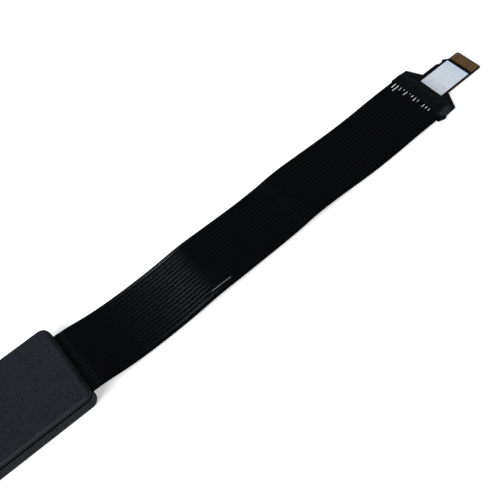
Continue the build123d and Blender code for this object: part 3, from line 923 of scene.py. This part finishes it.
@dataclass
class Plug:
    """The thin plug: board, pads, label, tape sleeve and the bare cores that show at its edge.

    Its sizes are in millimetres on the plug's own frame.
    """

    wall: float = 0.2
    left: float = 10.85
    board_top: float = 0.95
    front_height: float = 0.25
    sleeve_top: float = 1.7
    edge_radius: float = 0.5
    rise_start: float = -2.75
    rise_run: float = 3.1
    top_steps: int = 140
    side_steps: int = 8
    length_steps: int = 44
    # The sleeve's edges: front and rear as (across, along), the right one as (share of the length, across)
    front_edge: Pairs = ((-12.3, -4.2), (-11.4, -3.15), (0.0, -2.75), (10.85, -2.4))
    rear_edge: Pairs = (
        (-12.3, -8.7),
        (-11.9, -9.8),
        (-10.9, -10.6),
        (-9.6, -10.15),
        (-8.4, -9.75),
        (-7.3, -9.35),
        (-4.0, -8.85),
        (0.0, -8.72),
        (10.85, -8.8),
    )
    right_edge: Pairs = ((0, -11.4), (0.55, -11.6), (0.8, -12.2), (1, -11.7))
    # Creases and the bunch at the right end: heights, and waves across and along, in radians per millimetre
    crease: float = 0.05
    crease_waves: Pair = (1.9, 0.8)
    crease_fading: Pair = (0.9, 0.4)
    fine_crease: float = 0.025
    fine_waves: Pair = (4.3, -2.1)
    bunch: float = 0.06
    bunch_waves: Pair = (1.4, 2.2)
    bunch_start: float = -9.0
    bunch_run: float = 1.5
    # The droop of the right end
    droop: float = 0.8
    droop_power: float = 1.5
    droop_start: float = -10.4
    droop_run: float = 1.9
    # Bare cores
    core_radius: float = 0.15
    core_shift: float = -0.42
    core_height: float = 1.22
    core_root: float = 0.8
    core_stop: float = -7.0
    core_wave: float = 0.05
    core_wave_turn: float = 2.1
    core_arch: float = 0.1
    arch_spread: float = 0.5
    arch_turn: float = 2.3
    core_rings: int = 26
    core_around: int = 28
    strands: int = 7
    strand_depth: float = 0.16
    strand_turn: float = 2.2

    def _sleeve_section(self) -> tuple[np.ndarray, np.ndarray]:
        """The sleeve's section from front to rear.

        It runs along the top, round the right side, back along the bottom and round the left side. Round a
        side, the place goes out by the radius times the sine of the angle, and the height goes by half of 1
        plus or minus the cosine.

        Returns:
            The places across, a row for each ring, and each place's share of the full height.
        """
        share = np.linspace(0, 1, self.top_steps)
        side = np.linspace(0, math.pi, self.side_steps + 2)[1:-1]
        length = np.linspace(0, 1, self.length_steps)[:, None]
        right = np.interp(length, *zip(*self.right_edge)) + self.edge_radius
        left = self.left - self.edge_radius
        top = left + share * (right - left)
        round_right = right - self.edge_radius * np.sin(side)
        round_left = np.broadcast_to(left + self.edge_radius * np.sin(side), round_right.shape)
        falling = (1 + np.cos(side)) / 2
        heights = [np.ones(self.top_steps), falling, np.zeros(self.top_steps), 1 - falling]
        return np.concatenate([top, round_right, top[:, ::-1], round_left], axis=1), np.concatenate(heights)

    def _sleeve_height(self, u: np.ndarray, w: np.ndarray) -> np.ndarray:
        """The height of the sleeve's upper side.

        From the front it goes up by the smooth step 3 r^2 - 2 r^3, where r is the share of the rise's run.
        Added to that, times the step, are the creases and the bunch, which are slanted sine waves, less the
        droop, which is a power of the way out to the right.

        Args:
            u: Places along the plug.
            w: Places across it.

        Returns:
            The heights.
        """
        rise = np.clip((self.rise_start - u) / self.rise_run, 0, 1)
        rise = rise * rise * (3 - 2 * rise)
        low = self.board_top + self.front_height
        waves = (self.crease_waves, self.fine_waves, self.bunch_waves)
        crease, fine, bunch = (np.sin(across * w + along * u) for across, along in waves)
        rate, start = self.crease_fading
        creases = self.crease * crease * np.sin(rate * u + start) + self.fine_crease * fine
        creases += self.bunch * bunch * np.clip((self.bunch_start - w) / self.bunch_run, 0, 1)
        droop = self.droop * np.clip((self.droop_start - w) / self.droop_run, 0, 1) ** self.droop_power
        return low + (self.sleeve_top - low + creases - droop) * rise

    def sleeve(self) -> Object:
        """The tape sleeve: a flat tube round the board, open at both ends.

        Its section goes from the front edge to the rear edge in even steps, on the floor below and at the
        upper side's height above.

        Returns:
            The sleeve.
        """
        w, share = self._sleeve_section()
        length = np.linspace(0, 1, self.length_steps)[:, None]
        front = np.interp(w, *zip(*self.front_edge))
        rear = np.interp(w, *zip(*self.rear_edge))
        u = front + (rear - front) * length
        z = np.clip(share * self._sleeve_height(u, w), 0, None)
        points = on_plug(u, w, z)[::-1]
        uv = np.stack(np.broadcast_arrays(length, np.linspace(0, 1, points.shape[1] + 1)), axis=-1)
        piece = tube_piece("tape_sleeve", points[None], uv, capped=False)
        shell = piece.modifiers.new("wall", "SOLIDIFY")
        shell.thickness = self.wall * MM
        shell.offset = -1
        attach(piece, "root")
        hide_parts("plug_sleeve")
        return piece

    def bare_cores(self, ends: tuple[float, ...], ribbon_end: float) -> Object:
        """The tinned strands between the vinyl's ends and the sleeve.

        Each core is a tube round a line that arches by a half sine and waves a little sideways. Its radius is
        less along the grooves between its strands, which turn about it: the depth times 1 minus the cosine's
        size of half the strands times the turned angle.

        Args:
            ends: How far each core's vinyl reaches past the ribbon's end, in millimetres.
            ribbon_end: The ribbon's end along the plug's frame, in millimetres.

        Returns:
            All the cores as one piece.
        """
        number = np.arange(CORES)[:, None, None]
        share = np.linspace(0, 1, self.core_rings)[:, None]
        turn = np.linspace(0, 2 * math.pi, self.core_around, endpoint=False)
        start = ribbon_end + np.array(ends)[:, None, None] - self.core_root
        u = start + (self.core_stop - start) * share
        wave = self.core_wave * np.sin(self.core_wave_turn * u + number)
        w = core_places()[:, None, None] - PLUG_SIDE + self.core_shift + wave
        uneven = 1 + self.arch_spread * np.sin(number * self.arch_turn)
        z = self.core_height + self.core_arch * np.sin(share * math.pi) * uneven
        groove = 1 - np.abs(np.cos(self.strands / 2 * (turn + self.strand_turn * u)))
        radius = self.core_radius * (1 - self.strand_depth * groove)
        points = on_plug(u, w + radius * np.cos(turn), z + radius * np.sin(turn))
        piece = tube_piece("bare_cores", points)
        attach(piece, "root")
        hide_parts("plug_wire_ends")
        return piece

    def build(self, ends: tuple[float, ...], ribbon_end: float) -> list[Object]:
        """Builds the sleeve and the bare cores, puts finishes on them and on the plug's nodes.

        Args:
            ends: How far each core's vinyl reaches past the ribbon's end, in millimetres.
            ribbon_end: The ribbon's end along the plug's frame, in millimetres.

        Returns:
            The pieces that hang on the ribbon's end.
        """
        sleeve, cores = self.sleeve(), self.bare_cores(ends, ribbon_end)
        tin = Metal("plug_tin", (0.9, 0.9, 0.92), tarnish=0.1).material()
        dress(sleeve, SleeveTape().material())
        dress(cores, tin)
        dress_node("plug_board", PlugLaminate().material())
        dress_node("plug_contact_pads", PadGold().material())
        dress_node("plug_label", LabelFilm().material())
        dress_node("plug_solder_joints", tin)
        nodes = ("plug_board", "plug_contact_pads", "plug_label", "plug_solder_joints")
        return [sleeve, cores, *(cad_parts[name] for name in nodes)]


# Studio


def turned(right: Any, up: Any, back: Any, place: Any) -> Matrix:
    """The matrix of an object at a place, whose own axes point right, up and back."""
    turn = np.vstack([np.stack([right, up, back, place], axis=1), (0, 0, 0, 1)])
    return Matrix(turn.tolist())


@dataclass
class Lamp:
    """A soft rectangular lamp that faces a point."""

    name: str
    place: Triple
    aim: Triple
    size: Pair
    power: float
    tint: Colour = (1.0, 1.0, 1.0)

    def build(self) -> None:
        """Hangs the lamp."""
        light = bpy.data.lights.new(self.name, "AREA")
        light.shape = "RECTANGLE"
        light.size, light.size_y = self.size
        light.energy = self.power
        light.color = self.tint
        back = np.array(self.place) - np.array(self.aim)
        back /= np.linalg.norm(back)
        right = np.cross((0, 1, 0), back)
        right /= np.linalg.norm(right)
        lamp = add_object(self.name, light)
        lamp.matrix_world = turned(right, np.cross(back, right), back, self.place)


@dataclass
class Studio:
    """Pale floor, soft lamps and the camera as it stood for the photograph."""

    ambient: float = 0.06
    # The floor's tone, what it gives off where background shows, and from how far out it turns plain white
    floor_tone: float = 0.8
    floor_glow: float = 0.5
    floor_near: float = 0.5
    floor_drop: float = 0.00005
    floor_size: float = 6.0
    sensor: float = 36.0
    lens: float = 54.0026
    clip: Pair = (0.005, 20.0)
    eye: Triple = (0.030217, -0.110225, 0.188725)
    right: Triple = (0.772457, -0.61821, -0.14535)
    down: Triple = (-0.594639, -0.623728, -0.507314)
    forward: Triple = (0.222968, 0.47831, -0.849415)
    lamps: tuple[Lamp, ...] = (
        Lamp("back", (0.045, 0.476, 0.733), (0.058, 0, 0), (0.06, 0.1), 2.7, (0.9, 0.94, 1.0)),
        Lamp("left", (-1.1, -0.32, 0.99), (0.06, 0, 0), (0.68, 0.68), 26.0),
    )

    def build(self) -> None:
        """Sets up world, floor, lamps and camera."""
        self._world()
        self._floor()
        for lamp in self.lamps:
            lamp.build()
        self._camera()
        bpy.context.scene.view_settings.view_transform = "Standard"
        LOG.info("studio: %d lamps", len(self.lamps))

    def _world(self) -> None:
        """A world that lights softly, and looks white to the camera and in reflections."""
        world = bpy.data.worlds.new("studio_world")
        bpy.context.scene.world = world
        tree = Tree(world)
        strength = tree.shows_background().spread(self.ambient, 1.0)
        light = tree.node("ShaderNodeBackground", {}, {"Color": (1, 1, 1, 1), "Strength": strength})
        tree.node("ShaderNodeOutputWorld", {}, {"Surface": light.outputs[0]})

    def _floor(self) -> None:
        """A pale floor that looks white where nothing shades it, and far away, where the lamps fade."""
        half = self.floor_size / 2
        mesh = bpy.data.meshes.new("floor")
        corners = ((-half, -half), (half, -half), (half, half), (-half, half))
        mesh.from_pydata([(x, y, -self.floor_drop) for x, y in corners], [], [(0, 1, 2, 3)])
        floor = add_object("floor", mesh)
        material = bpy.data.materials.new("floor_paper")
        tree = Tree(material)
        paper = tree.node("ShaderNodeBsdfDiffuse", {}, {"Color": (*(self.floor_tone,) * 3, 1)}).outputs[0]
        glow = tree.node("ShaderNodeEmission", {}, {"Strength": self.floor_glow}).outputs[0]
        near = tree.node("ShaderNodeAddShader", {}, {0: paper, 1: glow}).outputs[0]
        white = tree.node("ShaderNodeEmission", {}, {"Strength": 1.0}).outputs[0]
        place = tree.node("ShaderNodeTexCoord", {}, {}).outputs["Object"]
        distance = tree.value("ShaderNodeVectorMath", {"operation": "LENGTH"}, {0: place}, "Value")
        far = distance.above(self.floor_near, self.floor_near)
        bright = tree.node("ShaderNodeMixShader", {}, {0: far, 1: near, 2: white}).outputs[0]
        choice = tree.node("ShaderNodeMixShader", {}, {0: tree.shows_background(), 1: paper, 2: bright})
        tree.node("ShaderNodeOutputMaterial", {}, {"Surface": choice.outputs[0]})
        dress(floor, material)

    def _camera(self) -> None:
        """The camera, placed and turned as measured from the photograph's edges."""
        camera = bpy.data.cameras.new("camera")
        camera.sensor_fit = "HORIZONTAL"
        camera.sensor_width = self.sensor
        camera.lens = self.lens
        camera.clip_start, camera.clip_end = self.clip
        holder = add_object("camera", camera)
        up, back = -np.array(self.down), -np.array(self.forward)
        holder.matrix_world = turned(self.right, up, back, self.eye)
        bpy.context.scene.camera = holder


def main() -> None:
    """Builds and dresses the sub-assemblies in order and reports each."""
    logging.basicConfig(level=logging.INFO, format="%(name)s: %(message)s")
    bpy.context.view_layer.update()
    studio = Studio()
    studio.build()
    ribbon = Ribbon()
    piece = ribbon.build()
    plug = Plug().build(ribbon.ends, ribbon.route[-1][0] - PLUG_FROM_EXIT)
    ribbon.dress(piece)
    Housing().dress()
    CardSocket().dress()


if __name__ == "__main__":
    main()
